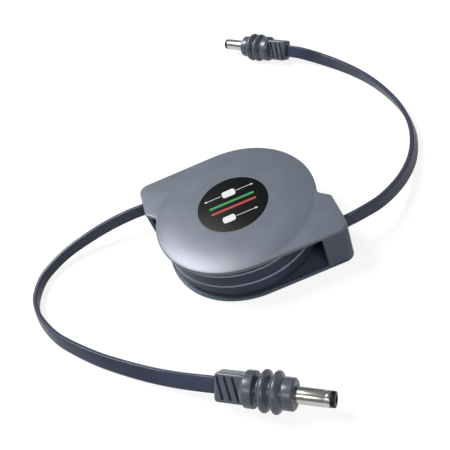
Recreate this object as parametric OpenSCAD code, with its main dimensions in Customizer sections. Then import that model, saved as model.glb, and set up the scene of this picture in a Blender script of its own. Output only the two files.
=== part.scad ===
// Retractable power cable: a round reel case with two tabs, a sprung spool that holds two wound
// ribbons one above the other, and a flat ribbon out of each tab that ends in a barrel plug.
// Frame: +Z up, origin on the spool axis at the underside of the case, +X along the straight edges.

/* [Case] */
// Radius of the round part of the case
case_r = 33; // [31:0.5:37]
// How far the flat end of each tab stands out past the round part
tab_reach = 2.4; // [2:0.1:4]
// Radius of the outer corner of each tab
tab_corner_r = 4; // [2.5:0.5:5]
// Width of each tab's flat end, from the straight edge to the shoulder corner
tab_w = 18; // [17:0.5:20]
// Radius of the hollow fillet between a shoulder and the round part
shoulder_fillet_r = 2.5; // [1.5:0.5:4]
// Radius of the outer corner at each shoulder
shoulder_round_r = 1.5; // [0.5:0.5:2]
// Thickness of the lower cover's floor
floor_t = 1.6; // [1.2:0.1:2.4]
// Height of the lower cover's rim above the floor
rim_h = 0.4; // [0.2:0.1:0.8]
// Width of the lower cover's rim
rim_w = 0.8; // [0.6:0.1:1.2]
// Thickness of the tab walls
wall_t = 1.8; // [1.4:0.1:2]
// Length of each tab's wall along the straight edge
tab_wall_len = 10.9; // [8:0.1:13]
// Distance from the straight edge to the screw boss in each tab
boss_in = 13.2; // [12.6:0.1:14]
// Thickness of the upper cover's flat plate
plate_t = 1.4; // [1.2:0.1:2]
// Rise of the dome above the flat plate
dome_h = 1.3; // [1.1:0.1:2.5]
// Flat margin between the dome's foot and the round edge
dome_margin = 0.8; // [0.5:0.1:2]
// Thickness of the dome's wall
dome_wall = 1.6; // [1.4:0.1:1.8]
// Space between the spool and the upper cover's plate
head_room = 1.9; // [1.8:0.1:3]

/* [Spool] */
// Distance from the round edge of the case to the outermost wound turn
wind_in = 1.2; // [1:0.1:2.4]
// How far the flanges stop short of the outermost turn
flange_short = 0.4; // [0:0.1:1]
// Thickness of the hub's wall
hub_wall = 2.2; // [2:0.1:2.6]
// Thickness of the web at the bottom of the hub
web_t = 1.2; // [1:0.1:2]
// Thickness of the lower flange
low_flange_t = 0.55; // [0.4:0.05:0.8]
// Thickness of the flange between the two windings
mid_flange_t = 0.5; // [0.4:0.05:0.8]
// Thickness of the upper flange
top_flange_t = 0.7; // [0.5:0.05:1]
// Height of the thrust pad that the spool turns on
pad_h = 0.3; // [0.2:0.05:0.6]
// Radius of the thrust pad
pad_r = 6; // [5:0.5:9]
// Radius of the fixed post that the spool turns on
post_r = 3; // [2.6:0.1:3.4]
// Running clearance between the post and the spool
run_gap = 0.08; // [0.03:0.01:0.1]
// Thickness of the spring's strip
spring_t = 0.3; // [0.2:0.05:0.4]
// Number of turns of the spring
spring_turns = 8; // [6:1:10]

/* [Lock] */
// Diameter of the steel locking ball
ball_d = 2.4; // [2:0.1:2.6]
// Depth of the ball's track in the track plate
track_depth = 1; // [0.8:0.1:1.1]
// Thickness of the track plate that closes the spring drum
plate_disc_t = 1.7; // [1.6:0.1:2.2]
// Distance from the spring drum's wall to the track's outer edge
track_edge = 1.4; // [0.6:0.1:2]
// Travel of the ball from the free lane into a catch
ball_travel = 2.4; // [2.3:0.1:2.6]
// Number of catches round the track
catches = 8; // [6:1:8]
// Half the opening angle of a catch
catch_half_angle = 7.5; // [6.5:0.5:9]

/* [Ribbon] */
// Width of the flat ribbon
ribbon_w = 5.8; // [5.4:0.1:6]
// Thickness of the flat ribbon
ribbon_t = 1.9; // [1.8:0.05:1.9]
// Number of wound turns in each layer
wound_turns = 5; // [3:1:5]
// Chamfer of the ribbon's long edges
ribbon_edge = 0.5; // [0.2:0.1:0.7]
// Gap between the ribbon and the slot that it leaves through
slot_gap = 0.4; // [0.2:0.05:0.6]
// Distance from the straight edge to the left slot's middle
left_slot_in = 4.3; // [4:0.1:5.5]
// Height of the left slot's middle
left_slot_z = 10; // [9:0.1:11.5]
// Distance from the straight edge to the right slot's middle
right_slot_in = 8.7; // [6:0.1:9]
// Height of the right slot's middle
right_slot_z = 11.7; // [11:0.1:12]

/* [Plug] */
// Length of the slotted strain relief
relief_len = 10.5; // [8.5:0.5:12]
// Height of the strain relief across the ribbon's width
relief_h = 9.8; // [8:0.1:10.4]
// Thickness of the strain relief
relief_t = 6.2; // [4.5:0.1:7]
// Number of slots on each face of the strain relief
relief_slots = 3; // [2:1:3]
// Width of a strain-relief slot
relief_slot_w = 0.9; // [0.6:0.1:1.1]
// Depth of a strain-relief slot
relief_slot_d = 1.2; // [0.8:0.1:1.5]
// Length of the round collar
collar_len = 3.6; // [3:0.1:6]
// Radius of the round collar
collar_r = 6.2; // [5.8:0.1:6.6]
// Radius of the sealing ribs, which the plug lies on
rib_r = 7; // [6.7:0.1:7.5]
// Rounding radius of one sealing rib
rib_round_r = 1.1; // [0.9:0.1:1.4]
// Distance from one sealing rib to the next
rib_pitch = 4.1; // [3.9:0.1:4.4]
// Gap between the collar and the seal
seal_gap = 1.2; // [0.8:0.1:1.6]
// Radius of the core under the seal
core_r = 4.2; // [3.8:0.1:4.5]
// Length of the nose in front of the seal
nose_len = 3.8; // [3.2:0.1:7]
// Radius of the nose
nose_r = 5.3; // [4.8:0.1:5.6]
// Diameter of the metal barrel
barrel_d = 5.5; // [5:0.1:6]
// Wall of the metal barrel
barrel_wall = 0.6; // [0.4:0.1:0.8]
// Length of the barrel in front of the nose
barrel_len = 11.2; // [9:0.1:12]
// Length of the insulating ring at the barrel's tip
tip_len = 1.6; // [0.6:0.1:2]
// Diameter of the hole for the centre pin
pin_hole_d = 2.1; // [1.7:0.1:2.5]
// Wall of the centre contact
contact_wall = 0.2; // [0.15:0.05:0.3]

/* [Hidden] */
$fn = 96;

case_grey = [0.47, 0.50, 0.55];
ribbon_grey = [0.28, 0.29, 0.34];
plug_grey = [0.36, 0.38, 0.43];
inner_grey = [0.22, 0.23, 0.27];
steel = [0.80, 0.80, 0.82];
gold = [0.83, 0.68, 0.35];
ink_black = [0.10, 0.11, 0.12];

// Extra reach of a cutting shape past the face that it cuts
over = 1;
// Places in each tab, from the spool axis and from the long axis
tab_end = case_r + tab_reach;
shoulder_y = case_r - tab_w;
wall_start = tab_end - tab_wall_len;
left_slot_y = case_r - left_slot_in;
right_slot_y = case_r - right_slot_in;
// Heights of the stack, from the surface up
spool_gap = 0.05;
spool_z = floor_t + pad_h + spool_gap;
low_wind_z = spool_z + low_flange_t;
mid_flange_z = low_wind_z + ribbon_w;
top_wind_z = mid_flange_z + mid_flange_t;
top_flange_z = top_wind_z + ribbon_w;
spool_top = top_flange_z + top_flange_t;
plate_z = spool_top + head_room;
case_h = plate_z + plate_t;
post_top = spool_top - 0.4;

wind_r = case_r - wind_in;
flange_r = wind_r - flange_short;
hub_r = wind_r - wound_turns * ribbon_t;
drum_r = hub_r - hub_wall;
drum_ledge = 1;
seat_r = drum_r + drum_ledge;
dome_r = case_r - dome_margin;
dome_rim = 3.2;
dome_ball_r = (dome_r * dome_r + dome_h * dome_h) / (2 * dome_h);

// Label and centre screw
label_r = 14.3;
label_t = 0.3;
label_gap = 0.2;
label_z = case_h + dome_h - 2 * label_t;
centre_screw_r = 1.1;
centre_head_r = 2.3;
centre_head_h = 1.5;
centre_screw_z = 7;
boss_flange_r = 5;
centre_head_z = label_z - 0.1 - centre_head_h;
screw_clear = 0.2;

// Tab bosses and their screws
boss_r = 2.4;
boss_bite = 0.8;
cover_gap = 0.1;
boss_x = tab_end - wall_t - boss_r + boss_bite;
boss_y = case_r - boss_in;
boss_split = mid_flange_z + 0.6;
tab_screw_r = 1;
tab_head_r = 1.8;
tab_head_h = 1.2;
tab_head_z = 0.1;
tab_screw_bite = 6;
tab_screw_top = boss_split + tab_screw_bite;

// Track, ball and cage
ball_r = ball_d / 2;
ball_gap = 0.05;
ball_z = spool_top - track_depth + ball_gap + ball_r;
lane_gap = 0.2;
track_out = drum_r - track_edge;
lane_r = track_out - lane_gap - ball_r - ball_travel;
track_in = lane_r - ball_r - lane_gap;
tooth_in = lane_r + ball_r + lane_gap;
catch_pitch = 360 / catches;
cage_wall = 1.2;
cage_gap = 0.05;
cage_z = spool_top + 0.2;
cage_roof = ball_z + ball_r + 0.1;

// Spring drum
spring_z = spool_z + web_t + 0.15;
spring_h = spool_top - plate_disc_t - 0.3 - spring_z;
spring_in = post_r + 0.5;
spring_out = drum_r - 0.5;
spring_steps = 20;
hook_reach = 1.2;
hook_gap = 0.2;

// Outline of the case: the round part with a tab on one side, then the same turned half round
cut45 = sqrt(2) - 1;
function shoulder_fillet(r, te, sy, rf) =
    let (s = [-te, sy], d = [1, -1] / sqrt(2), n = [-1, -1] / sqrt(2),
         c0 = s + rf * n, b = c0 * d, u = -b - sqrt(b * b - (c0 * c0 - (r + rf) * (r + rf))))
    [s + u * d, c0 + u * d];

module tab2d(inset) {
    r = case_r - inset;
    te = tab_end - inset;
    corner = tab_corner_r - inset;
    sy = shoulder_y + inset * cut45;
    rf = shoulder_fillet_r + inset;
    rs = max(shoulder_round_r - inset, 0.05);
    fillet = shoulder_fillet(r, te, sy, rf);
    t1 = fillet[0];
    c = fillet[1];
    t2 = c * r / (r + rf);
    difference() {
        polygon([[0, 0], [0, r], [-te + corner, r], [-te, r - corner], [-te, sy + cut45 * rs],
            [-te + cut45 * rs / sqrt(2), sy - cut45 * rs / sqrt(2)], t1, c, t2]);
        translate(c) circle(rf);
    }
    translate([-te + corner, r - corner]) circle(corner);
    translate([-te + rs, sy + cut45 * rs]) circle(rs);
}

module case2d(inset = 0) {
    circle(case_r - inset);
    for (a = [0, 180]) rotate(a) tab2d(inset);
}

// Places its children at the left tab, then at the right tab, with the slot's place as children's
module at_tabs() {
    for (a = [0, 180]) rotate(a) children();
}

module slot_cut(y, z) {
    half = ribbon_t / 2 + slot_gap;
    translate([-tab_end - over, y - half, z - ribbon_w / 2 - slot_gap])
        cube([wall_t + 2 * over, 2 * half, case_h]);
}

module slot_tongue(y, z) {
    half = ribbon_t / 2 + slot_gap;
    low = z + ribbon_w / 2 + slot_gap;
    translate([-tab_end, y - half, low]) cube([wall_t, 2 * half, plate_z - low]);
}

// Case

module lower_cover() {
    color(case_grey) difference() {
        union() {
            linear_extrude(floor_t) case2d();
            linear_extrude(floor_t + rim_h) difference() {
                case2d();
                case2d(rim_w);
            }
            linear_extrude(plate_z) intersection() {
                difference() {
                    case2d();
                    case2d(wall_t);
                }
                at_tabs() translate([-tab_end - over, shoulder_y + 0.6])
                    square([tab_end + over - wall_start, case_r]);
            }
            at_tabs() translate([-boss_x, boss_y, 0]) cylinder(r = boss_r, h = boss_split);
            cylinder(r = pad_r, h = floor_t + pad_h);
            cylinder(r = post_r, h = post_top);
        }
        slot_cut(left_slot_y, left_slot_z);
        rotate(180) slot_cut(right_slot_y, right_slot_z);
        at_tabs() translate([-boss_x, boss_y, -over]) {
            cylinder(r = tab_screw_r + screw_clear, h = boss_split + 2 * over);
            cylinder(r = tab_head_r + screw_clear, h = tab_head_z + tab_head_h + over);
        }
        translate([0, 0, centre_screw_z]) cylinder(r = centre_screw_r, h = post_top);
        translate([-spring_t, 0, spring_z]) cube([2 * spring_t, post_r + over, post_top]);
    }
}

module dome(drop) {
    translate([0, 0, case_h + dome_h - dome_ball_r - drop]) sphere(r = dome_ball_r, $fn = 200);
}

module upper_cover() {
    color(case_grey) difference() {
        union() {
            difference() {
                union() {
                    translate([0, 0, plate_z]) linear_extrude(plate_t) case2d();
                    intersection() {
                        dome(0);
                        translate([0, 0, plate_z]) cylinder(r = dome_r, h = plate_t + dome_h + over);
                    }
                }
                intersection() {
                    dome(dome_wall);
                    translate([0, 0, plate_z - over]) cylinder(r = dome_r - dome_rim, h = case_h);
                }
            }
            translate([0, 0, cage_z]) cylinder(r = boss_flange_r, h = case_h - cage_z);
            translate([0, 0, post_top]) cylinder(r = post_r, h = case_h - post_top);
            translate([track_in - cage_wall, -ball_r - cage_gap - cage_wall, cage_z])
                cube([track_out - track_in + 2 * cage_wall, ball_d + 2 * (cage_gap + cage_wall),
                    case_h - cage_z]);
            at_tabs() intersection() {
                translate([-boss_x, boss_y, boss_split])
                    cylinder(r = boss_r, h = plate_z + plate_t / 2 - boss_split);
                translate([wall_t + cover_gap - tab_end, 0, 0]) cube([tab_end, case_r, case_h]);
            }
            slot_tongue(left_slot_y, left_slot_z);
            rotate(180) slot_tongue(right_slot_y, right_slot_z);
        }
        translate([0, 0, label_z]) cylinder(r = label_r + label_gap, h = dome_h);
        translate([0, 0, centre_head_z]) cylinder(r = centre_head_r + screw_clear, h = dome_h + over);
        translate([0, 0, post_top - over]) cylinder(r = centre_screw_r + screw_clear, h = case_h);
        translate([track_in, -ball_r - cage_gap, cage_z - over])
            cube([track_out - track_in, ball_d + 2 * cage_gap, cage_roof - cage_z + over]);
        at_tabs() translate([-boss_x, boss_y, boss_split - over])
            cylinder(r = tab_screw_r, h = tab_screw_top - boss_split + over + 0.5);
    }
}

module label_disc() {
    color(ink_black) translate([0, 0, label_z]) cylinder(r = label_r, h = label_t);
}

// A screw that points down from its head, which stands on z = 0, with a cross recess
module screw(shank_r, shank_len, head_r, head_h) {
    difference() {
        union() {
            cylinder(r = head_r, h = head_h);
            translate([0, 0, -shank_len]) cylinder(r = shank_r, h = shank_len);
        }
        for (a = [0, 90]) rotate(a) translate([-head_r * 0.6, -0.25, head_h * 0.45])
            cube([head_r * 1.2, 0.5, head_h]);
    }
}

module centre_screw() {
    color(steel) translate([0, 0, centre_head_z])
        screw(centre_screw_r, centre_head_z - centre_screw_z, centre_head_r, centre_head_h);
}

module tab_screws() {
    color(steel) at_tabs() translate([-boss_x, boss_y, tab_head_z + tab_head_h]) mirror([0, 0, 1])
        screw(tab_screw_r, tab_screw_top - tab_head_z - tab_head_h, tab_head_r, tab_head_h);
}

// Spool and what turns with it

module spool() {
    color(inner_grey) difference() {
        union() {
            translate([0, 0, spool_z]) cylinder(r = hub_r, h = spool_top - spool_z);
            translate([0, 0, spool_z]) cylinder(r = flange_r, h = low_flange_t);
            translate([0, 0, mid_flange_z]) cylinder(r = flange_r, h = mid_flange_t);
            translate([0, 0, top_flange_z]) cylinder(r = flange_r, h = top_flange_t);
        }
        translate([0, 0, spool_z + web_t]) cylinder(r = drum_r, h = case_h);
        translate([0, 0, spool_top - plate_disc_t]) cylinder(r = seat_r, h = case_h);
        cylinder(r = post_r + run_gap, h = case_h);
        translate([drum_r - over, -spring_t - hook_gap, spool_z + web_t])
            cube([hook_reach + hook_gap + over, spring_t + 2 * hook_gap, spring_h + 0.3]);
    }
}

module track_plate() {
    color(plug_grey) translate([0, 0, spool_top - plate_disc_t]) difference() {
        cylinder(r = seat_r - 0.1, h = plate_disc_t);
        translate([0, 0, -over]) cylinder(r = post_r + run_gap, h = plate_disc_t + 2 * over);
        translate([0, 0, plate_disc_t - track_depth]) difference() {
            cylinder(r = track_out, h = plate_disc_t);
            translate([0, 0, -over]) cylinder(r = track_in, h = plate_disc_t + 2 * over);
            for (i = [0 : catches - 1]) rotate(i * catch_pitch + catch_half_angle)
                translate([0, 0, -over])
                    rotate_extrude(angle = catch_pitch - 2 * catch_half_angle)
                        translate([tooth_in, 0]) square([track_out + over - tooth_in, case_h]);
        }
    }
}

function spiral(i, side) =
    let (a = i * 360 / spring_steps,
         r = spring_in + (spring_out - spring_in) * i / (spring_steps * spring_turns))
    (r + side * spring_t / 2) * [cos(a), sin(a)];

module power_spring() {
    last = spring_steps * spring_turns;
    color(steel) translate([0, 0, spring_z]) {
        linear_extrude(spring_h) polygon([
            for (i = [0 : last]) spiral(i, 1),
            for (i = [last : -1 : 0]) spiral(i, -1)]);
        translate([spring_out - spring_t / 2, -spring_t, 0])
            cube([drum_r + hook_reach - spring_out + spring_t / 2, spring_t, spring_h]);
    }
}

module lock_ball() {
    color(steel) translate([lane_r, 0, ball_z]) sphere(r = ball_r);
}

// One layer of wound ribbon: the turns lie against each other, each with chamfered edges
module winding(z) {
    e = ribbon_edge;
    inner = [for (i = [0 : wound_turns - 1]) hub_r + i * ribbon_t];
    bottom = [for (r = inner) for (p = [[r, e], [r + e, 0], [r + ribbon_t - e, 0]]) p];
    top = [for (i = [wound_turns - 1 : -1 : 0]) let (r = inner[i] + ribbon_t)
        for (p = [[r, ribbon_w - e], [r - e, ribbon_w], [r - ribbon_t + e, ribbon_w]]) p];
    color(ribbon_grey) translate([0, 0, z]) rotate_extrude()
        polygon(concat(bottom, [[wind_r, e]], top, [[hub_r, ribbon_w - e]]));
}

module lower_winding() {
    winding(low_wind_z);
}

module upper_winding() {
    winding(top_wind_z);
}

// Ribbons: each route point is x, y, z and the ribbon's lean from upright, in degrees
plug_z = rib_r;
left_plug_at = [-28, -64.5];
left_plug_dir = -31;
left_plug_roll = 50;
right_plug_at = [57, 104.5];
right_plug_dir = 130;
right_plug_roll = 150;

left_route = [[-14.5, 29.8, 6.8, 0], [-22, 29.4, 8.2, 0], [-30, 29, 9.5, 0], [-37, 28.7, 10, 0],
    [-44.5, 29.2, 9.8, 0], [-54.5, 29.7, 8.6, 2], [-65, 29.7, 6.6, 6], [-76, 28.3, 4.7, 10],
    [-84.5, 24.7, 3.5, 12], [-90.2, 19.5, 3.1, 14], [-93.6, 10.5, 3.1, 15], [-93.3, 2, 3.1, 17],
    [-90.3, -6.5, 3.1, 20], [-85, -15.7, 3.1, 24], [-77.5, -24.5, 3.1, 29], [-69.5, -32.6, 3, 34],
    [-61.5, -39.6, 3, 39], [-53, -46.4, 3, 43], [-46, -51.8, 3.7, 46], [-39.5, -56.8, 5.2, 48],
    [-33.1, -61.4, 6.7, 50], [-28, -64.5, 7, 50]];

right_route = [[18.5, -27.4, 11.7, 0], [26, -26, 11.7, 0], [35.4, -24.3, 11.7, 0],
    [42, -23.3, 11.4, 1], [51.3, -20.2, 9.8, 5], [60, -14.5, 7.4, 9], [67.5, -7.8, 5.2, 12],
    [74.2, 0, 3.6, 15], [79.3, 8.3, 3.1, 16], [83, 17.5, 3.1, 17], [85, 28, 3.1, 17],
    [85.3, 38.5, 3.1, 15], [84.2, 50.5, 3.1, 12], [82, 61.5, 3.1, 8], [78.7, 72, 3.1, 2],
    [74.5, 82, 3.2, -7], [69.5, 90, 4.3, -17], [64.5, 95.7, 6, -25], [60.9, 99.9, 6.8, -29],
    [57, 104.5, 7, -30]];

route_steps = 3;
function bend(a, b, c, d, u) = 0.5 * (2 * b + (c - a) * u + (2 * a - 5 * b + 4 * c - d) * u * u
    + (3 * b - a - 3 * c + d) * u * u * u);
function smooth(p) = let (n = len(p) - 1) [
    for (i = [0 : n - 1], k = [0 : route_steps - 1])
        bend(p[max(i - 1, 0)], p[i], p[i + 1], p[min(i + 2, n)], k / route_steps),
    p[n]];
function place(q) = [q[0], q[1], q[2]];
function unit(v) = v / norm(v);
function heading(p, i, last_dir) = let (n = len(p) - 1)
    i == n ? last_dir : unit(place(p[i + 1]) - place(p[max(i - 1, 0)]));

// Eight corners of the ribbon's section: across its width, then through its thickness
function section() = let (w = ribbon_w / 2, t = ribbon_t / 2, e = ribbon_edge)
    [[w, t - e], [w - e, t], [e - w, t], [-w, t - e],
     [-w, e - t], [e - w, -t], [w - e, -t], [w, e - t]];
function ring(q, along) =
    let (side = unit([-along[1], along[0], 0]), up = cross(along, side),
         wide = cos(q[3]) * up + sin(q[3]) * side, thick = cos(q[3]) * side - sin(q[3]) * up)
    [for (s = section()) place(q) + s[0] * wide + s[1] * thick];

module ribbon(route, plug_dir) {
    p = smooth(route);
    n = len(p) - 1;
    m = 8;
    points = [for (i = [0 : n]) each ring(p[i], heading(p, i, [cos(plug_dir), sin(plug_dir), 0]))];
    walls = [for (i = [0 : n - 1], k = [0 : m - 1]) let (a = i * m + k, b = i * m + (k + 1) % m)
        each [[a, b, b + m], [a, b + m, a + m]]];
    first = [for (k = [m - 1 : -1 : 0]) k];
    last = [for (k = [0 : m - 1]) n * m + k];
    color(ribbon_grey) polyhedron(points, concat(walls, [first, last]));
}

module left_ribbon() {
    ribbon(left_route, left_plug_dir);
}

module right_ribbon() {
    ribbon(right_route, right_plug_dir);
}

// Plugs: each piece lies along +X, from the ribbon's end, then turns with its plug

seal_x = relief_len + collar_len + seal_gap;
seal_len = 2 * rib_pitch + 0.2;
seal_wall = 0.8;
nose_x = seal_x + seal_len;
barrel_x = nose_x + nose_len;
tip_x = barrel_x + barrel_len;
barrel_root = nose_x + 0.4;
insulator_root = barrel_root + 0.5;
barrel_r = barrel_d / 2;
pin_hole_r = pin_hole_d / 2;
contact_r = pin_hole_r + contact_wall;
root_r = barrel_r - barrel_wall / 2;
lead_in = 0.1;

module at_left_plug() {
    translate([left_plug_at[0], left_plug_at[1], plug_z]) rotate(left_plug_dir)
        rotate([-left_plug_roll, 0, 0]) children();
}

module at_right_plug() {
    translate([right_plug_at[0], right_plug_at[1], plug_z]) rotate(right_plug_dir)
        rotate([-right_plug_roll, 0, 0]) children();
}

// A round piece along +X between two places
module round_bar(x0, x1, r) {
    translate([x0, 0, 0]) rotate([0, 90, 0]) cylinder(r = r, h = x1 - x0);
}

// A bar along +X whose section, given across its length, is a rectangle with cut corners
module cut_bar(len, h, t, c) {
    rotate([90, 0, 90]) linear_extrude(len) polygon([
        [t / 2 - c, h / 2], [c - t / 2, h / 2], [-t / 2, h / 2 - c], [-t / 2, c - h / 2],
        [c - t / 2, -h / 2], [t / 2 - c, -h / 2], [t / 2, c - h / 2], [t / 2, h / 2 - c]]);
}

relief_cut = 0.7;
relief_nose = 1.2;
slot_slant = -18;
slot_pitch = 2.8;
slot_first = 2.3;
slot_edge = 1.2;
nose_cut = 0.6;

module relief() {
    reach = relief_len + over;
    h = relief_h / 2;
    t = relief_t / 2;
    n = relief_nose;
    intersection() {
        cut_bar(reach, relief_h, relief_t, relief_cut);
        rotate([90, 0, 0]) translate([0, 0, -t - over]) linear_extrude(2 * (t + over))
            polygon([[0, n - h], [n, -h], [reach, -h], [reach, h], [n, h], [0, h - n]]);
        translate([0, 0, -h - over]) linear_extrude(2 * (h + over))
            polygon([[0, n - t], [n, -t], [reach, -t], [reach, t], [n, t], [0, t - n]]);
    }
}

module relief_slot() {
    run = relief_h - 2 * slot_edge;
    rotate([0, slot_slant, 0]) rotate([90, 0, 0]) translate([0, 0, -over]) {
        translate([-relief_slot_w / 2, -run / 2, 0]) cube([relief_slot_w, run, relief_slot_d + over]);
        for (s = [-1, 1]) translate([0, s * run / 2, 0])
            cylinder(r = relief_slot_w / 2, h = relief_slot_d + over, $fn = 32);
    }
}

module plug_body() {
    color(plug_grey) difference() {
        union() {
            relief();
            translate([relief_len, 0, 0]) rotate([0, 90, 0]) {
                cylinder(r1 = collar_r - 0.6, r2 = collar_r, h = 0.6);
                translate([0, 0, 0.6]) cylinder(r = collar_r, h = collar_len - 0.6);
            }
            round_bar(relief_len + over, nose_x + over, core_r);
            round_bar(nose_x, barrel_x - nose_cut, nose_r);
            translate([barrel_x - nose_cut, 0, 0]) rotate([0, 90, 0])
                cylinder(r1 = nose_r, r2 = nose_r - nose_cut, h = nose_cut);
        }
        round_bar(barrel_root, barrel_x + over, root_r);
        for (i = [0 : relief_slots - 1]) translate([slot_first + i * slot_pitch, 0, 0]) {
            translate([0, -relief_t / 2 + relief_slot_d, 0]) relief_slot();
            translate([0, relief_t / 2 - relief_slot_d, 0]) rotate([0, 0, 180]) mirror([1, 0, 0])
                relief_slot();
        }
    }
}

module plug_seal() {
    color(plug_grey) translate([seal_x, 0, 0]) rotate([0, 90, 0]) rotate_extrude() difference() {
        union() {
            translate([core_r, 0]) square([seal_wall, seal_len]);
            for (i = [0, 1]) translate([0, 0.1 + (i + 0.5) * rib_pitch]) hull() {
                translate([rib_r - rib_round_r, 0]) circle(rib_round_r);
                translate([core_r, 0.25 - rib_pitch / 2]) square([seal_wall / 2, rib_pitch - 0.5]);
            }
        }
        translate([core_r - rib_r, -over]) square([rib_r, seal_len + 2 * over]);
    }
}

module plug_barrel() {
    groove_x = tip_x - 1.6;
    color(steel) difference() {
        union() {
            round_bar(barrel_root, barrel_x, root_r);
            round_bar(barrel_x, tip_x, barrel_r);
        }
        round_bar(barrel_root - over, tip_x + over, barrel_r - barrel_wall);
        difference() {
            round_bar(groove_x, groove_x + 0.5, barrel_r + over);
            round_bar(groove_x - over, groove_x + 0.5 + over, barrel_r - 0.2);
        }
    }
}

module plug_insulator() {
    color(ink_black) difference() {
        union() {
            round_bar(insulator_root, tip_x, barrel_r - barrel_wall);
            round_bar(tip_x, tip_x + tip_len, barrel_r - 0.15);
        }
        round_bar(insulator_root - over, tip_x, contact_r);
        round_bar(tip_x - over, tip_x + tip_len + over, pin_hole_r + lead_in);
    }
}

module plug_contact() {
    color(gold) difference() {
        round_bar(insulator_root, tip_x, contact_r);
        round_bar(insulator_root - over, tip_x + over, pin_hole_r);
    }
}

module left_plug_body() {
    at_left_plug() plug_body();
}

module left_plug_seal() {
    at_left_plug() plug_seal();
}

module left_plug_barrel() {
    at_left_plug() plug_barrel();
}

module left_plug_insulator() {
    at_left_plug() plug_insulator();
}

module left_plug_contact() {
    at_left_plug() plug_contact();
}

module right_plug_body() {
    at_right_plug() plug_body();
}

module right_plug_seal() {
    at_right_plug() plug_seal();
}

module right_plug_barrel() {
    at_right_plug() plug_barrel();
}

module right_plug_insulator() {
    at_right_plug() plug_insulator();
}

module right_plug_contact() {
    at_right_plug() plug_contact();
}

lower_cover();
upper_cover();
label_disc();
centre_screw();
tab_screws();
spool();
track_plate();
power_spring();
lock_ball();
lower_winding();
upper_winding();
left_ribbon();
right_ribbon();
left_plug_body();
left_plug_seal();
left_plug_barrel();
left_plug_insulator();
left_plug_contact();
right_plug_body();
right_plug_seal();
right_plug_barrel();
right_plug_insulator();
right_plug_contact();
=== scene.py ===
# %% [markdown]
# # A retractable power cable
# A round reel case with two tabs holds two wound ribbons on one sprung spool. A flat ribbon leaves
# each tab and ends in a barrel plug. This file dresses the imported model: it gives every moulding
# its rounded edges, every ribbon its turns, and every surface the finish of the real material.
# All sizes are written in millimetres and turned to metres where a mesh is made.

import math

import bmesh
import bpy
from mathutils import Matrix, Vector


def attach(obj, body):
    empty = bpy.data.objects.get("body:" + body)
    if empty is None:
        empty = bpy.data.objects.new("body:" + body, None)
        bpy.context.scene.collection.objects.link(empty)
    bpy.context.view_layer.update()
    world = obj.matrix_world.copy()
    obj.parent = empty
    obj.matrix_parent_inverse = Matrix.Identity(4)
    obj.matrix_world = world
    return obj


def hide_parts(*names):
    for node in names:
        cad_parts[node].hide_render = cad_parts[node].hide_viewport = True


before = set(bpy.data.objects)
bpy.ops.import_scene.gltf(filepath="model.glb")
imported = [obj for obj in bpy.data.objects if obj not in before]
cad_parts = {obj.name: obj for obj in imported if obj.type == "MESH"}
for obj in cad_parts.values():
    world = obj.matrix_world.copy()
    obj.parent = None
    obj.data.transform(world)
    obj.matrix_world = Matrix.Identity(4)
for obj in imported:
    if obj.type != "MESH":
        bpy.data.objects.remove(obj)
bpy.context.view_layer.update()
MM = 0.001

# %% [markdown]
# ## Camera
# The photograph was taken from above and in front, quite close, with the camera rolled to the
# right. Its place and its roll were found from the case's outline and from the sizes of both
# plugs. A lens of 48 mm on a 36 mm sensor gives nearly the same perspective: the near plug looks
# almost twice as large as the far one.

# %% Camera
EYE = Vector((2.4, -170.9, 182.2))
TARGET = Vector((-6.8, 10.2, 0.0))
ROLL = math.radians(-24.88)


def make_camera():
    data = bpy.data.cameras.new("camera")
    data.lens = 48.0
    data.sensor_width = 36.0
    data.clip_start = 0.01
    camera = bpy.data.objects.new("camera", data)
    bpy.context.scene.collection.objects.link(camera)
    turn = (EYE - TARGET).to_track_quat("Z", "Y").to_matrix().to_4x4()
    camera.matrix_world = Matrix.Translation(EYE * MM) @ turn @ Matrix.Rotation(ROLL, 4, "Z")
    bpy.context.scene.camera = camera
    return camera


camera = make_camera()
print(camera.name, "stands", round((EYE - TARGET).length), "mm from the case")

# %% [markdown]
# ## Small tools for closed shapes
# Every piece here is a moulding, a turned part or a swept strip. A moulding can be made by hand
# in edit mode, with a bevel, or in code as a stack of outlines. Code was chosen, because the
# outlines then come from the real sizes. A solid is a pair: its points and its faces. `loft` joins
# rings that have as many points each, and `lathe` turns a section round an axis.

# %% Solids from rings
def loft(rings):
    """Joins rings of points one after another and closes both ends."""
    n = len(rings[0])
    points = [p for ring in rings for p in ring]
    faces = []
    for i in range(len(rings) - 1):
        for k in range(n):
            a, b = i * n + k, i * n + (k + 1) % n
            faces.append((a, b, b + n, a + n))
    faces.append(tuple(reversed(range(n))))
    faces.append(tuple(range((len(rings) - 1) * n, len(rings) * n)))
    return points, faces


def lathe(section, steps=96, axis="Z"):
    """Turns a closed section of (radius, height) pairs round the axis."""
    n = len(section)
    points, faces = [], []
    for i in range(steps):
        a = 2 * math.pi * i / steps
        for r, h in section:
            if axis == "Z":
                points.append((r * math.cos(a), r * math.sin(a), h))
            else:
                points.append((h, r * math.cos(a), r * math.sin(a)))
        for k in range(n):
            j = (i + 1) % steps
            faces.append((i * n + k, i * n + (k + 1) % n, j * n + (k + 1) % n, j * n + k))
    return points, faces


def together(*solids):
    points, faces = [], []
    for more_points, more_faces in solids:
        base = len(points)
        points += list(more_points)
        faces += [tuple(i + base for i in face) for face in more_faces]
    return points, faces


def turned(solid, degrees):
    spin = Matrix.Rotation(math.radians(degrees), 3, "Z")
    return [tuple(spin @ Vector(p)) for p in solid[0]], solid[1]


# %% [markdown]
# A sharp corner never shows on a real moulding: the tool leaves a small radius, and that radius
# catches the light. `rounded` puts an arc at each corner of a section.

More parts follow.
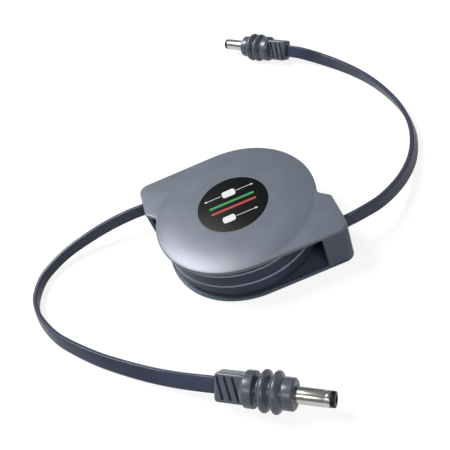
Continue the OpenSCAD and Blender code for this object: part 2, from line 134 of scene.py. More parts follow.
# %% Rounded corners
def rounded(corners, radius, steps=4):
    """Closed list of (x, y) corners with an arc at each. A corner may carry its own radius."""
    out = []
    n = len(corners)
    for i in range(n):
        here = Vector(corners[i][:2])
        before, after = Vector(corners[i - 1][:2]), Vector(corners[(i + 1) % n][:2])
        r = corners[i][2] if len(corners[i]) > 2 else radius
        u, v = (before - here).normalized(), (after - here).normalized()
        half = math.acos(max(-1.0, min(1.0, u.dot(v)))) / 2
        if r < 0.005 or half > math.pi / 2 - 0.02:
            out.append(tuple(here))
            continue
        reach = min(r / math.tan(half), 0.49 * (before - here).length, 0.49 * (after - here).length)
        r = reach * math.tan(half)
        centre = here + (u + v).normalized() * (r / math.sin(half))
        start, end = here + u * reach - centre, here + v * reach - centre
        for k in range(steps + 1):
            mix = start.lerp(end, k / steps)
            out.append(tuple(centre + mix.normalized() * r))
    return out


# %% [markdown]
# ## Making a piece
# A piece is a mesh that rides on one body of the model and takes the place of the plain solids
# that it stands for. Faces are smooth, and edges sharper than 32 degrees stay crisp. A hole is cut
# with the exact boolean, and the cutter is thrown away.

# %% Piece and cut
SHARP = math.radians(32)


def new_object(name, solid):
    mesh = bpy.data.meshes.new(name)
    mesh.from_pydata([tuple(c * MM for c in p) for p in solid[0]], [], solid[1])
    obj = bpy.data.objects.new(name, mesh)
    bpy.context.scene.collection.objects.link(obj)
    shape = bmesh.new()
    shape.from_mesh(mesh)
    bmesh.ops.recalc_face_normals(shape, faces=shape.faces)
    shape.to_mesh(mesh)
    shape.free()
    return obj


def cut(obj, *cutters):
    for solid in cutters:
        tool = new_object("cutter", solid)
        change = obj.modifiers.new("cut", "BOOLEAN")
        change.operation, change.solver, change.object = "DIFFERENCE", "EXACT", tool
        graph = bpy.context.evaluated_depsgraph_get()
        result = bpy.data.meshes.new_from_object(obj.evaluated_get(graph))
        obj.modifiers.clear()
        old, obj.data = obj.data, result
        bpy.data.meshes.remove(old)
        bpy.data.objects.remove(tool)


def finish_piece(obj, body, slot, material, *stands_for):
    obj.data.shade_smooth()
    obj.data.set_sharp_from_angle(angle=SHARP)
    obj.data.materials.clear()
    obj.data.materials.append(material)
    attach(obj, body)
    if stands_for:
        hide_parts(*stands_for)
    low = [round(min(v.co[i] for v in obj.data.vertices) / MM, 1) for i in range(3)]
    high = [round(max(v.co[i] for v in obj.data.vertices) / MM, 1) for i in range(3)]
    print(f"{obj.name}: {len(obj.data.polygons)} faces, {low} to {high} mm")
    return obj


# %% [markdown]
# ## Colours and nodes
# A colour is written as the sRGB value that a paint program shows, and one function turns it to
# the linear value that the shader needs. One more function adds a node with its settings and its
# links, so a material reads from top to bottom.

# %% Colour and node helpers
def srgb(code):
    parts = [int(code[i:i + 2], 16) / 255 for i in (1, 3, 5)]
    line = [c / 12.92 if c <= 0.04045 else ((c + 0.055) / 1.055) ** 2.4 for c in parts]
    return (*line, 1.0)


def add(tree, kind, links=None, inputs=None, **settings):
    node = tree.nodes.new(kind)
    for key, value in settings.items():
        setattr(node, key, value)
    for key, value in (inputs or {}).items():
        node.inputs[key].default_value = value
    for key, source in (links or {}).items():
        tree.links.new(source, node.inputs[key])
    return node


def blank(name):
    material = bpy.data.materials.new(name)
    material.use_nodes = True
    tree = material.node_tree
    tree.nodes.clear()
    return material, tree


def close(tree, shader):
    add(tree, "ShaderNodeOutputMaterial", {"Surface": shader.outputs["BSDF"]})


def noise(tree, where, size_mm, detail, roughness):
    """A noise with patches of about size_mm."""
    return add(tree, "ShaderNodeTexNoise", {"Vector": where},
               {"Scale": 1 / (size_mm * MM), "Detail": detail,
                "Roughness": roughness}).outputs["Fac"]


def spread(tree, value, start, end, low=0.0, high=1.0):
    """Maps a value's range from start to end onto low to high."""
    return add(tree, "ShaderNodeMapRange", {"Value": value},
               {"From Min": start, "From Max": end, "To Min": low,
                "To Max": high}).outputs["Result"]


# %% [markdown]
# ## Moulded plastic and rubber
# The case is ABS with a fine metal flake in it, moulded in a spark-eroded tool, so the surface has
# a grain of about 0.15 mm and a satin gloss. The ribbon's jacket and the plugs are soft PVC, which
# is smoother along the ribbon and has faint flow marks. One builder makes all of them: a base
# colour that varies a little over some millimetres, a grain that lifts the surface, and a gloss
# that varies with the handling. The real grain is finer than a pixel here, so it is drawn at three
# times its size. The wound ribbon also takes a painted highlight: a pale line along its upper edge
# that stands in for the gloss that its rounded edge catches. Its mesh stores how far each point
# lies below that edge, in millimetres.

# %% Moulded material
# Depths in mm below the wound ribbon's upper edge: the painted highlight is full above the first
# and gone below the second.
PAINTED_HIGHLIGHT_DEPTH, PAINTED_HIGHLIGHT_FADE = 0.35, 0.43


def moulded(name, dark, light, rough, grain_mm, lift_mm, patch_mm=9.0, flake=0.0, ior=1.5,
            rough_spread=0.06, crest=None):
    material, tree = blank(name)
    where = add(tree, "ShaderNodeTexCoord").outputs["Object"]
    patch = noise(tree, where, patch_mm, 3.0, 0.55)
    grain = noise(tree, where, grain_mm, 2.0, 0.6)
    colour = add(tree, "ShaderNodeMix", {"Factor": spread(tree, patch, 0.3, 0.7)},
                 data_type="RGBA")
    colour.inputs["A"].default_value = srgb(dark)
    colour.inputs["B"].default_value = srgb(light)
    # The crest colour is a painted highlight, a pale line along the wound ribbon's upper edge.
    if crest:
        depth = add(tree, "ShaderNodeAttribute", attribute_name="edge_depth").outputs["Fac"]
        colour = add(tree, "ShaderNodeMix", {"Factor": spread(tree, depth, PAINTED_HIGHLIGHT_FADE, PAINTED_HIGHLIGHT_DEPTH),
                                             "A": colour.outputs["Result"]}, data_type="RGBA")
        colour.inputs["B"].default_value = srgb(crest)
    gloss = spread(tree, patch, 0.2, 0.8, rough - rough_spread, rough + rough_spread)
    bump = add(tree, "ShaderNodeBump", {"Height": grain},
               {"Strength": 0.6, "Distance": lift_mm * MM})
    shader = add(tree, "ShaderNodeBsdfPrincipled",
                 {"Base Color": colour.outputs["Result"], "Roughness": gloss,
                  "Normal": bump.outputs["Normal"]},
                 {"IOR": ior, "Metallic": flake})
    close(tree, shader)
    return material


case_abs = moulded("flake_abs_case", "#737a87", "#79808d", 0.33, 0.45, 0.012, flake=0.12,
                   ior=1.55, rough_spread=0.03)
# The lower cover is the same plastic as the upper cover; this darker, less glossy copy is painted
# shade.
painted_shade_abs = moulded("flake_abs_painted_shade", "#5c6478", "#626a7e", 0.42, 0.45, 0.012, flake=0.12,
                   ior=1.42, rough_spread=0.03)
ribbon_pvc = moulded("soft_pvc_ribbon", "#42485d", "#4a5065", 0.28, 0.6, 0.005, patch_mm=14.0,
                     ior=1.35, rough_spread=0.03)
# The wound ribbon is the same jacket as the free ribbon. Its lighter base and weaker reflection are
# painted light for the wound bands, and its crest colour is a painted highlight.
wound_pvc_painted_light = moulded("soft_pvc_wound_ribbon_painted_light", "#4a5268", "#50586c", 0.34, 0.6, 0.004, patch_mm=14.0,
                    ior=1.2, rough_spread=0.01, crest="#c0c8de")
plug_pvc = moulded("soft_pvc_plug", "#5c6271", "#646a79", 0.25, 0.5, 0.004, patch_mm=7.0,
                   ior=1.58, rough_spread=0.05)
spool_abs = moulded("dark_abs_spool", "#15171d", "#1b1e25", 0.5, 0.5, 0.01)
black_nylon = moulded("black_nylon", "#0d0e10", "#17181b", 0.36, 0.4, 0.008, ior=1.4)
label_film = moulded("black_label_film", "#08090a", "#0d0f10", 0.33, 0.35, 0.003, ior=1.3,
                     rough_spread=0.02)
print("moulded finishes:", [m.name for m in bpy.data.materials if m.use_nodes])

# %% [markdown]
# ## Metals
# The barrel is brass with bright nickel on it, turned on a lathe, so fine rings run round it. The
# centre contact is brass with a gilt flash. The screws are zinc plated, the spring is a blued
# steel strip, and the ball is bearing steel. A metal keeps the default IOR, and its colour is its
# reflection. The turning marks are drawn 0.25 mm apart, where the real ones are a few hundredths.

# %% Metal material
def metal(name, colour, rough, mark_mm, lift_mm, rough_spread=0.05):
    material, tree = blank(name)
    where = add(tree, "ShaderNodeTexCoord").outputs["Object"]
    marks = noise(tree, where, mark_mm, 4.0, 0.6)
    gloss = spread(tree, marks, 0.2, 0.8, rough - rough_spread, rough + rough_spread)
    bump = add(tree, "ShaderNodeBump", {"Height": marks},
               {"Strength": 0.4, "Distance": lift_mm * MM})
    shader = add(tree, "ShaderNodeBsdfPrincipled",
                 {"Roughness": gloss, "Normal": bump.outputs["Normal"]},
                 {"Base Color": srgb(colour), "Metallic": 1.0})
    close(tree, shader)
    return material


nickel = metal("bright_nickel_plate", "#d8d8d4", 0.21, 0.25, 0.0005, rough_spread=0.02)
gilt = metal("gilt_brass", "#d9b26a", 0.22, 0.3, 0.004)
zinc = metal("zinc_plated_steel", "#c2c4c8", 0.35, 0.4, 0.006)
spring_steel = metal("blued_spring_steel", "#8d94a3", 0.34, 0.5, 0.006)
bearing_steel = metal("bearing_steel", "#dfe0e2", 0.1, 0.5, 0.002)
print("metals:", nickel.name, gilt.name, zinc.name, spring_steel.name, bearing_steel.name)

# %% [markdown]
# ## The free ribbons
# A flat ribbon leaves each tab, curves round the case and ends in a plug. Its length is fixed, so
# it is made as one strip along a smooth curve through the route's points, which are the model's
# own. It stands on its edge and leans more and more towards the near plug, as a stiff flat cable
# does when its plug lies rolled on the table. A curve object with a bevel could do this, but it
# twists by its own rule, so the strip is swept in code with the lean given at each point. Over
# its first two spans, which the case hides, it grows from a third of its thickness, because there
# it comes off the winding.

# %% Route of each ribbon
RIBBON_W, RIBBON_T = 5.8, 1.9
ROUTE_STEPS, START_THIN = 9, 0.35
# The model's own points: x, y, z in metres and the lean in degrees.
LEFT_ROUTE = [
    (-0.0145, 0.0298, 0.0068, 0), (-0.022, 0.0294, 0.0082, 0), (-0.03, 0.029, 0.0095, 0),
    (-0.037, 0.0287, 0.01, 0), (-0.0445, 0.0292, 0.0098, 0), (-0.0545, 0.0297, 0.0086, 2),
    (-0.065, 0.0297, 0.0066, 6), (-0.076, 0.0283, 0.0047, 10), (-0.0845, 0.0247, 0.0035, 12),
    (-0.0902, 0.0195, 0.0031, 14), (-0.0936, 0.0105, 0.0031, 15), (-0.0933, 0.002, 0.0031, 17),
    (-0.0903, -0.0065, 0.0031, 20), (-0.085, -0.0157, 0.0031, 24), (-0.0775, -0.0245, 0.0031, 29),
    (-0.0695, -0.0326, 0.003, 34), (-0.0615, -0.0396, 0.003, 39), (-0.053, -0.0464, 0.003, 43),
    (-0.046, -0.0518, 0.0037, 46), (-0.0395, -0.0568, 0.0052, 48), (-0.0331, -0.0614, 0.0067, 50),
    (-0.028, -0.0645, 0.007, 50)]
RIGHT_ROUTE = [
    (0.0185, -0.0274, 0.0117, 0), (0.026, -0.026, 0.0117, 0), (0.0354, -0.0243, 0.0117, 0),
    (0.042, -0.0233, 0.0114, 1), (0.0513, -0.0202, 0.0098, 5), (0.06, -0.0145, 0.0074, 9),
    (0.0675, -0.0078, 0.0052, 12), (0.0742, 0.0, 0.0036, 15), (0.0793, 0.0083, 0.0031, 16),
    (0.083, 0.0175, 0.0031, 17), (0.085, 0.028, 0.0031, 17), (0.0853, 0.0385, 0.0031, 15),
    (0.0842, 0.0505, 0.0031, 12), (0.082, 0.0615, 0.0031, 8), (0.0787, 0.072, 0.0031, 2),
    (0.0745, 0.082, 0.0032, -7), (0.0695, 0.09, 0.0043, -17), (0.0645, 0.0957, 0.006, -25),
    (0.0609, 0.0999, 0.0068, -29), (0.057, 0.1045, 0.007, -30)]
LEFT_PLUG = {"at": (-28.0, -64.5, 7.0), "heading": -31.0, "roll": 50.0}
RIGHT_PLUG = {"at": (57.0, 104.5, 7.0), "heading": 130.0, "roll": 150.0}


def bend(a, b, c, d, u):
    return 0.5 * (2 * b + (c - a) * u + (2 * a - 5 * b + 4 * c - d) * u * u
                  + (3 * b - a - 3 * c + d) * u * u * u)


def smooth_route(route):
    """The route in millimetres, with ROUTE_STEPS places between two of its points."""
    points = [Vector((q[0] / MM, q[1] / MM, q[2] / MM, q[3])) for q in route]
    last = len(points) - 1
    out = []
    for i in range(last):
        a, b = points[max(i - 1, 0)], points[i]
        c, d = points[i + 1], points[min(i + 2, last)]
        out += [bend(a, b, c, d, k / ROUTE_STEPS) for k in range(ROUTE_STEPS)]
    return out + [points[last]]


# %% [markdown]
# The section is a flat strip with round edges. Its broad faces are a little crowned, because the
# jacket is drawn over a row of round wires.

# %% Ribbon section and sweep
def ribbon_section(wide, thick, edge=0.62, crown=0.06):
    flat = rounded([(wide / 2, -thick / 2), (wide / 2, thick / 2),
                    (-wide / 2, thick / 2), (-wide / 2, -thick / 2)], edge, 5)
    out = []
    for w, t in flat:
        out.append((w, t))
        if w > 0 and t > 0 and abs(t - thick / 2) < 1e-6 or w < 0 and abs(t + thick / 2) < 1e-6:
            step = 1 if t > 0 else -1
            for share in (0.55, 0.0, -0.55):
                out.append((step * share * (wide / 2 - edge), t + step * crown * (1 - share ** 2)))
    return out


def sweep_ribbon(route, heading):
    path = smooth_route(route)
    last = len(path) - 1
    end = Vector((math.cos(math.radians(heading)), math.sin(math.radians(heading)), 0))
    inward = RIBBON_T / 2 if path[0].x > 0 else -RIBBON_T / 2
    rings = []
    for i, q in enumerate(path):
        here = q.xyz
        along = end if i == last else (path[i + 1].xyz - path[max(i - 1, 0)].xyz).normalized()
        side = Vector((-along.y, along.x, 0)).normalized()
        up = along.cross(side)
        lean = math.radians(q.w)
        wide = math.cos(lean) * up + math.sin(lean) * side
        thick = math.cos(lean) * side - math.sin(lean) * up
        thin = min(1.0, START_THIN + (1 - START_THIN) * i / (2 * ROUTE_STEPS))
        rings.append([tuple(here + w * wide + (t * thin + inward * (1 - thin)) * thick)
                      for w, t in ribbon_section(RIBBON_W, RIBBON_T)])
    return loft(rings), [tuple(q.xyz * MM) for q in path]


# %% Left and right ribbon
for name, route, plug in (("left", LEFT_ROUTE, LEFT_PLUG), ("right", RIGHT_ROUTE, RIGHT_PLUG)):
    solid, path = sweep_ribbon(route, plug["heading"])
    strip = finish_piece(new_object(name + "_ribbon_strip", solid), "case", "ribbon", ribbon_pvc,
                         name + "_ribbon")
    run = sum((Vector(a) - Vector(b)).length for a, b in zip(path, path[1:]))
    print(name, "ribbon runs", round(run, 4), "m from the winding to its plug")

# %% [markdown]
# ## The case's outline
# Both covers share one outline: a circle, and two tabs that are half a turn apart. Each tab has a
# straight edge, a round corner, a flat end, a slanted shoulder and a hollow fillet. The outline is
# worked out again for each distance inside the edge, so every ring has as many points and the
# rings can be lofted.

# %% Case outline
CASE_R, TAB_END, TAB_CORNER = 33.0, 35.4, 4.0
SHOULDER_Y, HOLLOW_R, SHOULDER_R = 15.0, 2.5, 1.5
SLANT = math.sqrt(2) - 1


def arc(centre, radius, start, end, steps):
    return [(centre[0] + radius * math.cos(math.radians(start + (end - start) * k / steps)),
             centre[1] + radius * math.sin(math.radians(start + (end - start) * k / steps)))
            for k in range(steps)]


def straight(a, b, steps):
    return [(a[0] + (b[0] - a[0]) * k / steps, a[1] + (b[1] - a[1]) * k / steps)
            for k in range(steps)]


def case_outline(inset=0.0):
    """The outline's points, `inset` inside the edge: one half, then the same turned round."""
    r, end, corner = CASE_R - inset, TAB_END - inset, TAB_CORNER - inset
    low, hollow = SHOULDER_Y + inset * SLANT, HOLLOW_R + inset
    nose = max(SHOULDER_R - inset, 0.05)
    along, inward = Vector((1, -1)).normalized(), Vector((-1, -1)).normalized()
    start = Vector((-end, low)) + hollow * inward
    b = start.dot(along)
    centre = start + along * (-b - math.sqrt(b * b - (start.length_squared - (r + hollow) ** 2)))
    meets = centre - hollow * inward
    nose_at = (-end + nose, low + SLANT * nose)
    leaves = (nose_at[0] - nose * math.sqrt(0.5), nose_at[1] - nose * math.sqrt(0.5))
    back = math.degrees(math.atan2(-centre.y, -centre.x))
    half = straight((0, r), (-end + corner, r), 8)
    half += arc((-end + corner, r - corner), corner, 90, 180, 8)
    half += straight((-end, r - corner), (-end, nose_at[1]), 4)
    half += arc(nose_at, nose, 180, 225, 4)
    half += straight(leaves, meets, 3)
    half += arc(centre, hollow, 45, back, 6)
    half += arc((0, 0), r, 180 + back, 270, 26)
    return half + [(-x, -y) for x, y in half]


def ring(inset, z):
    return [(x, y, z) for x, y in case_outline(inset)]


def circle_ring(radius, z):
    """A circle with its points in line with those of the case's outline."""
    out = []
    for x, y in case_outline(0):
        reach = math.hypot(x, y)
        out.append((radius * x / reach, radius * y / reach, z))
    return out


print("outline points:", len(case_outline()))

# %% [markdown]
# ## Upper cover
# One moulding: a flat plate with a soft edge, and a very shallow dome that is nearly flat in the
# middle and rounder at its foot, a little inside the round edge. That foot is what catches the
# light as a faint circle. The label sits in a recess in the middle. Below it are the post's end,
# the ball's cage, the screw bosses and the tongues that close the ribbon slots.

# %% Sizes of the stack
PLATE_Z, CASE_H, DOME_H, DOME_R = 17.2, 18.6, 1.12, 32.2
DOME_POWER, DOME_WALL = 6, 1.5
SPOOL_TOP, SPOOL_Z, POST_TOP, POST_R = 15.3, 1.95, 14.9, 3.0
LABEL_R, LABEL_Z, LABEL_T, RECESS_R = 14.4, 19.3, 0.3, 14.45
WALL, EDGE, SMALL_EDGE = 1.8, 0.5, 0.25


def dome_z(r, drop=0.0):
    """Height of the dome: nearly flat in the middle and rounder towards its foot."""
    return CASE_H + DOME_H * (1 - (r / DOME_R) ** DOME_POWER) - drop


print("dome top at", round(dome_z(0), 2), "mm")


# %% Upper cover
def quarter(inset, z, radius, turn, steps=4):
    """Rings round a soft edge: turn 1 goes from the side to the top, -1 from below to the side."""
    out = []
    for k in range(steps + 1):
        a = math.pi / 2 * k / steps
        if turn > 0:
            out.append(ring(inset + radius * (1 - math.cos(a)), z - radius * (1 - math.sin(a))))
        else:
            out.append(ring(inset + radius * (1 - math.sin(a)), z + radius * (1 - math.cos(a))))
    return out


under = [circle_ring(r, dome_z(r, DOME_WALL)) for r in (4, 12, 20, 26)]
under += [circle_ring(29, PLATE_Z)]
side = quarter(0, PLATE_Z, SMALL_EDGE, -1) + quarter(0, CASE_H, EDGE, 1)
foot = [circle_ring(DOME_R + 0.2, CASE_H), circle_ring(DOME_R, CASE_H + 0.008)]
dome = [circle_ring(r, dome_z(r)) for r in
        (31.9, 31.3, 30.5, 29.5, 28, 26, 24, 22, 20, 18, 16, 15, 14.7)]
lip = dome_z(RECESS_R + 0.05)
recess = [circle_ring(RECESS_R + 0.05, lip - 0.02), circle_ring(RECESS_R + 0.01, lip - 0.07),
          circle_ring(RECESS_R, LABEL_Z), circle_ring(2.5, LABEL_Z)]
plate = loft(under + [ring(0.6, PLATE_Z)] + side + foot + dome + recess)
post_end = lathe(rounded([(0.05, POST_TOP), (POST_R, POST_TOP), (POST_R, 15.5), (5, 15.5),
                          (5, 18.5), (0.05, 18.5)], 0.15), 64)


def box(x0, y0, z0, x1, y1, z1, soft=0.15):
    """A box along Z with soft upright edges and soft ends."""
    def outline(inset):
        return rounded([(x0 + inset, y0 + inset), (x1 - inset, y0 + inset),
                        (x1 - inset, y1 - inset), (x0 + inset, y1 - inset)], soft, 3)
    levels = [(soft, z0), (soft * 0.3, z0 + soft * 0.3), (0, z0 + soft),
              (0, z1 - soft), (soft * 0.3, z1 - soft * 0.3), (soft, z1)]
    return loft([[(x, y, z) for x, y in outline(i)] for i, z in levels])


CAGE_IN, CAGE_OUT, CAGE_SIDE, CAGE_LOW, CAGE_WALL = 12.3, 19.9, 2.45, 15.5, 1.2
cage = [box(x0, y0, CAGE_LOW, x1, y1, CASE_H) for x0, x1, y0, y1 in (
    (CAGE_IN, CAGE_OUT, CAGE_SIDE - CAGE_WALL, CAGE_SIDE),
    (CAGE_IN, CAGE_OUT, -CAGE_SIDE, CAGE_WALL - CAGE_SIDE),
    (CAGE_IN, CAGE_IN + CAGE_WALL, -CAGE_SIDE, CAGE_SIDE),
    (CAGE_OUT - CAGE_WALL, CAGE_OUT, -CAGE_SIDE, CAGE_SIDE))]
BOSS_X, BOSS_Y, BOSS_R, BOSS_SPLIT = 32.0, 19.8, 2.4, 8.9
LEFT_SLOT, RIGHT_SLOT = (28.7, 10.0), (24.3, 11.7)
SLOT_HALF, SLOT_DEEP = 1.35, 3.3
SCREW_SEAT, SCREW_HOLE_R = 1.3, 2.0


def boss(z0, z1):
    round_bar = lathe(rounded([(1.0, z0), (BOSS_R, z0), (BOSS_R, z1), (1.0, z1)], 0.12, 3), 48)
    return [(x - BOSS_X, y + BOSS_Y, z) for x, y, z in round_bar[0]], round_bar[1]


def tongue(slot):
    y, z = slot
    return box(-TAB_END + 0.02, y - SLOT_HALF + 0.04, z + SLOT_DEEP, -TAB_END + WALL,
               y + SLOT_HALF - 0.04, PLATE_Z + 0.4, 0.08)


upper = together(plate, post_end, *cage, tongue(LEFT_SLOT), turned(tongue(RIGHT_SLOT), 180),
                 boss(BOSS_SPLIT, 17.6), turned(boss(BOSS_SPLIT, 17.6), 180))
finish_piece(new_object("upper_cover_moulding", upper), "case", "case", case_abs, "upper_cover")

# %% [markdown]
# ## Lower cover
# One moulding too: a floor with a low rim, and at each tab a wall that runs from the straight edge
# round the corner to the shoulder. The wall carries the upper cover, and the ribbon leaves through
# a slot in its flat end. The rest of the side stays open, so the wound ribbon shows. The wall is a
# strip along the outline, and the slot is cut out of it. It is the same plastic as the upper cover;
# its darker, less glossy colour is painted shade, for the rim and walls that lie in shadow.

# %% Lower cover
FLOOR, RIM_TOP, RIM_W, FLOOR_CAP_R = 1.6, 2.0, 0.8, 10
TAB_WALL_LEN, WALL_FOOT, WALL_END_Y = 10.9, 0.6, SHOULDER_Y + 0.75
floor_rings = [circle_ring(FLOOR_CAP_R, 0)] + quarter(0, 0, EDGE, -1)
floor_rings += quarter(0, RIM_TOP, SMALL_EDGE, 1)
floor_rings += [ring(RIM_W - 0.2, RIM_TOP), ring(RIM_W, RIM_TOP - 0.2), ring(RIM_W + 0.05, FLOOR)]
floor = loft(floor_rings + [circle_ring(FLOOR_CAP_R, FLOOR)])
pad = lathe(rounded([(0.05, 0.5), (6, 0.5), (6, 1.9), (POST_R, 1.9), (POST_R, POST_TOP),
                     (1.1, POST_TOP), (1.1, 7), (0.05, 7)], 0.12, 3), 64)


def wall_section(outer, inner, squeeze=0.0, shift=(0.0, 0.0)):
    """One upright section of a wall, from a point of the outline to the one inside it."""
    start = Vector(outer) + Vector(shift)
    across = (Vector(inner) - Vector(outer)).normalized()
    section = rounded([(squeeze, WALL_FOOT), (WALL - squeeze, WALL_FOOT),
                       (WALL - squeeze, PLATE_Z), (squeeze, PLATE_Z, SMALL_EDGE)], 0.12, 3)
    return [(start.x + across.x * w, start.y + across.y * w, z) for w, z in section]


def tab_wall():
    """The left tab's wall: sections along the outline, from the straight edge to the shoulder."""
    def path(inset):
        r, end, corner = CASE_R - inset, TAB_END - inset, TAB_CORNER - inset
        return (straight((TAB_WALL_LEN - TAB_END, r), (-end + corner, r), 4)
                + arc((-end + corner, r - corner), corner, 90, 180, 10)
                + straight((-end, r - corner), (-end, WALL_END_Y), 6)
                + [(-end, WALL_END_Y)])
    pairs = list(zip(path(0.0), path(WALL)))
    first, last = pairs[0], pairs[-1]
    return loft([wall_section(*first, squeeze=SMALL_EDGE),
                 wall_section(*first, shift=(-SMALL_EDGE, 0)),
                 *[wall_section(*pair) for pair in pairs[1:-1]],
                 wall_section(*last, shift=(0, SMALL_EDGE)),
                 wall_section(*last, squeeze=SMALL_EDGE)])


def slot_cutter(slot):
    y, z = slot
    points = rounded([(y - SLOT_HALF, z - SLOT_DEEP), (y + SLOT_HALF, z - SLOT_DEEP),
                      (y + SLOT_HALF, PLATE_Z + 2), (y - SLOT_HALF, PLATE_Z + 2)], 0.25, 3)
    return loft([[(x, a, b) for a, b in points] for x in (-TAB_END - 1, -TAB_END + WALL + 1)])


def bar(x, y, z0, z1, radius, steps=48):
    return loft([[(x + radius * math.cos(2 * math.pi * k / steps),
                   y + radius * math.sin(2 * math.pi * k / steps), z) for k in range(steps)]
                 for z in (z0, z1)])


walls = []
for side_name, slot, spin in (("left", LEFT_SLOT, 0), ("right", RIGHT_SLOT, 180)):
    wall = new_object(side_name + "_tab_wall", turned(tab_wall(), spin))
    cut(wall, turned(slot_cutter(slot), spin))
    walls.append(wall)
base = new_object("lower_cover_moulding", floor)
cut(base, *[bar(s * BOSS_X, -s * BOSS_Y, -1, SCREW_SEAT, SCREW_HOLE_R) for s in (-1, 1)])
low_boss = boss(SCREW_SEAT, BOSS_SPLIT)
posts = new_object("posts", together(pad, low_boss, turned(low_boss, 180)))


def join(target, *others):
    shape = bmesh.new()
    for obj in (target, *others):
        shape.from_mesh(obj.data)
    shape.to_mesh(target.data)
    shape.free()
    for obj in others:
        bpy.data.objects.remove(obj)
    return target


finish_piece(join(base, posts, *walls), "case", "case", painted_shade_abs, "lower_cover")

# %% [markdown]
# ## Spool and wound ribbon
# The spool is a thin-walled moulding with three flanges. Each layer of ribbon lies between two of
# them in a flat spiral, edge on, so the case's side shows two smooth dark bands with the thin
# flange edges between them. Each turn is round for most of its way and steps in over the last
# fifth, under the turn that covers it. The outermost turn ends where the free ribbon leaves it.

# %% Spool
FLANGE_R, WIND_R, HUB_R, DRUM_R, SEAT_R = 31.4, 31.8, 22.3, 20.1, 21.1
LOW_WIND, MID_FLANGE, TOP_WIND, TOP_FLANGE = 2.5, 8.3, 8.8, 14.6
spool_section = rounded([
    (3.08, SPOOL_Z), (FLANGE_R, SPOOL_Z), (FLANGE_R, LOW_WIND), (HUB_R, LOW_WIND, 0),
    (HUB_R, MID_FLANGE, 0), (FLANGE_R, MID_FLANGE), (FLANGE_R, TOP_WIND), (HUB_R, TOP_WIND, 0),
    (HUB_R, TOP_FLANGE, 0), (FLANGE_R, TOP_FLANGE), (FLANGE_R, SPOOL_TOP), (SEAT_R, SPOOL_TOP),
    (SEAT_R, 13.6), (DRUM_R, 13.6), (DRUM_R, 3.15), (3.08, 3.15)], 0.16, 3)
finish_piece(new_object("spool_moulding", lathe(spool_section, 192)), "spool", "spool", spool_abs,
             "spool")

# %% Wound turns
TURNS, TURN_STEPS = 5, 90
WOUND_W = RIBBON_W - 0.06
TURN_PITCH = RIBBON_T * 0.9
STEP_IN = 0.8


def wound(z, last_degrees):
    section = ribbon_section(WOUND_W, RIBBON_T - 0.04, 0.5, 0.0)
    steps = TURNS * TURN_STEPS
    rings = []
    for i in range(steps + 1):
        back = (steps - i) / TURN_STEPS
        a = math.radians(last_degrees) - 2 * math.pi * back
        whole, part = divmod(back, 1.0)
        ramp = max(0.0, part - STEP_IN) / (1.0 - STEP_IN)
        r = WIND_R - RIBBON_T / 2 - (whole + ramp * ramp * (3 - 2 * ramp)) * TURN_PITCH
        rings.append([((r - t) * math.cos(a), (r - t) * math.sin(a), z + RIBBON_W / 2 + w)
                      for w, t in section])
    return loft(rings)


for name, z, last in (("lower", LOW_WIND, 126), ("upper", TOP_WIND, 310)):
    turns = new_object(name + "_wound_ribbon", wound(z, last))
    # The depth below the upper edge places the painted highlight along that edge.
    depth = turns.data.attributes.new("edge_depth", "FLOAT", "POINT")
    top = z + RIBBON_W / 2 + WOUND_W / 2
    for vertex, below in zip(turns.data.vertices, depth.data):
        below.value = top - vertex.co.z / MM
    finish_piece(turns, "spool", "ribbon", wound_pvc_painted_light, name + "_winding")

# %% [markdown]
# ## Parts inside the drum
# The track plate, the power spring, the ball and the screws have their true shape in the packed
# model, so they stay as they are and only take their real finish.

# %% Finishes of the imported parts
for name, material in (("track_plate", spool_abs), ("power_spring", spring_steel),
                       ("lock_ball", bearing_steel), ("centre_screw", zinc),
                       ("tab_screws", zinc)):
    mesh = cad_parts[name].data
    mesh.materials.clear()
    mesh.materials.append(material)
    print("finished", name, "in", material.name)

# %% [markdown]
# ## Plugs
# Each plug is a soft overmould on a metal barrel. From the ribbon forward: a flat strain relief
# with three slanted slots on each broad face, a round collar, a sealing sleeve with two round
# ribs, a nose, and the barrel with its insulating tip. They are made once along +X and then set
# where each plug lies.

# %% Plug sizes and placing
RELIEF, COLLAR, SEAL, NOSE = 10.5, 14.1, 15.3, 23.7
BARREL, TIP, TIP_LEN = 27.5, 38.7, 1.6
TAIL, CORE_BACK, CORE_FRONT = NOSE + 0.4, NOSE + 0.9, TIP - 0.9
RELIEF_H, RELIEF_T, COLLAR_R, NOSE_R = 9.8, 6.2, 6.2, 5.3
BARREL_R, BORE_R, PIN_R, CONTACT_R = 2.75, 2.15, 1.05, 1.25
SLIT_FIRST, SLIT_PITCH, SLIT_RUN, SLIT_R, SLIT_SLANT = 2.3, 2.8, 7.4, 0.45, math.radians(-18)
RIB_PITCH, RIB_ROUND, RIB_R, RIB_FOOT, SLEEVE_R = 4.1, 1.1, 7.0, 1.72, 5.0


def placed(solid, plug):
    turn = (Matrix.Translation(plug["at"]) @ Matrix.Rotation(math.radians(plug["heading"]), 4, "Z")
            @ Matrix.Rotation(math.radians(-plug["roll"]), 4, "X"))
    return [tuple(turn @ Vector(p)) for p in solid[0]], solid[1]


def relief():
    """Flat strain relief: rounded sections that close in at the ribbon's end."""
    rings = []
    for x, grow in ((0.0, 1.2), (0.12, 0.85), (0.45, 0.4), (1.0, 0.08), (1.4, 0.0),
                    (RELIEF + 1, 0.0)):
        h, t = RELIEF_H / 2 - grow, RELIEF_T / 2 - grow
        rings.append([(x, b, a) for a, b in rounded([(h, -t), (h, t), (-h, t), (-h, -t)], 0.7, 5)])
    return loft(rings)


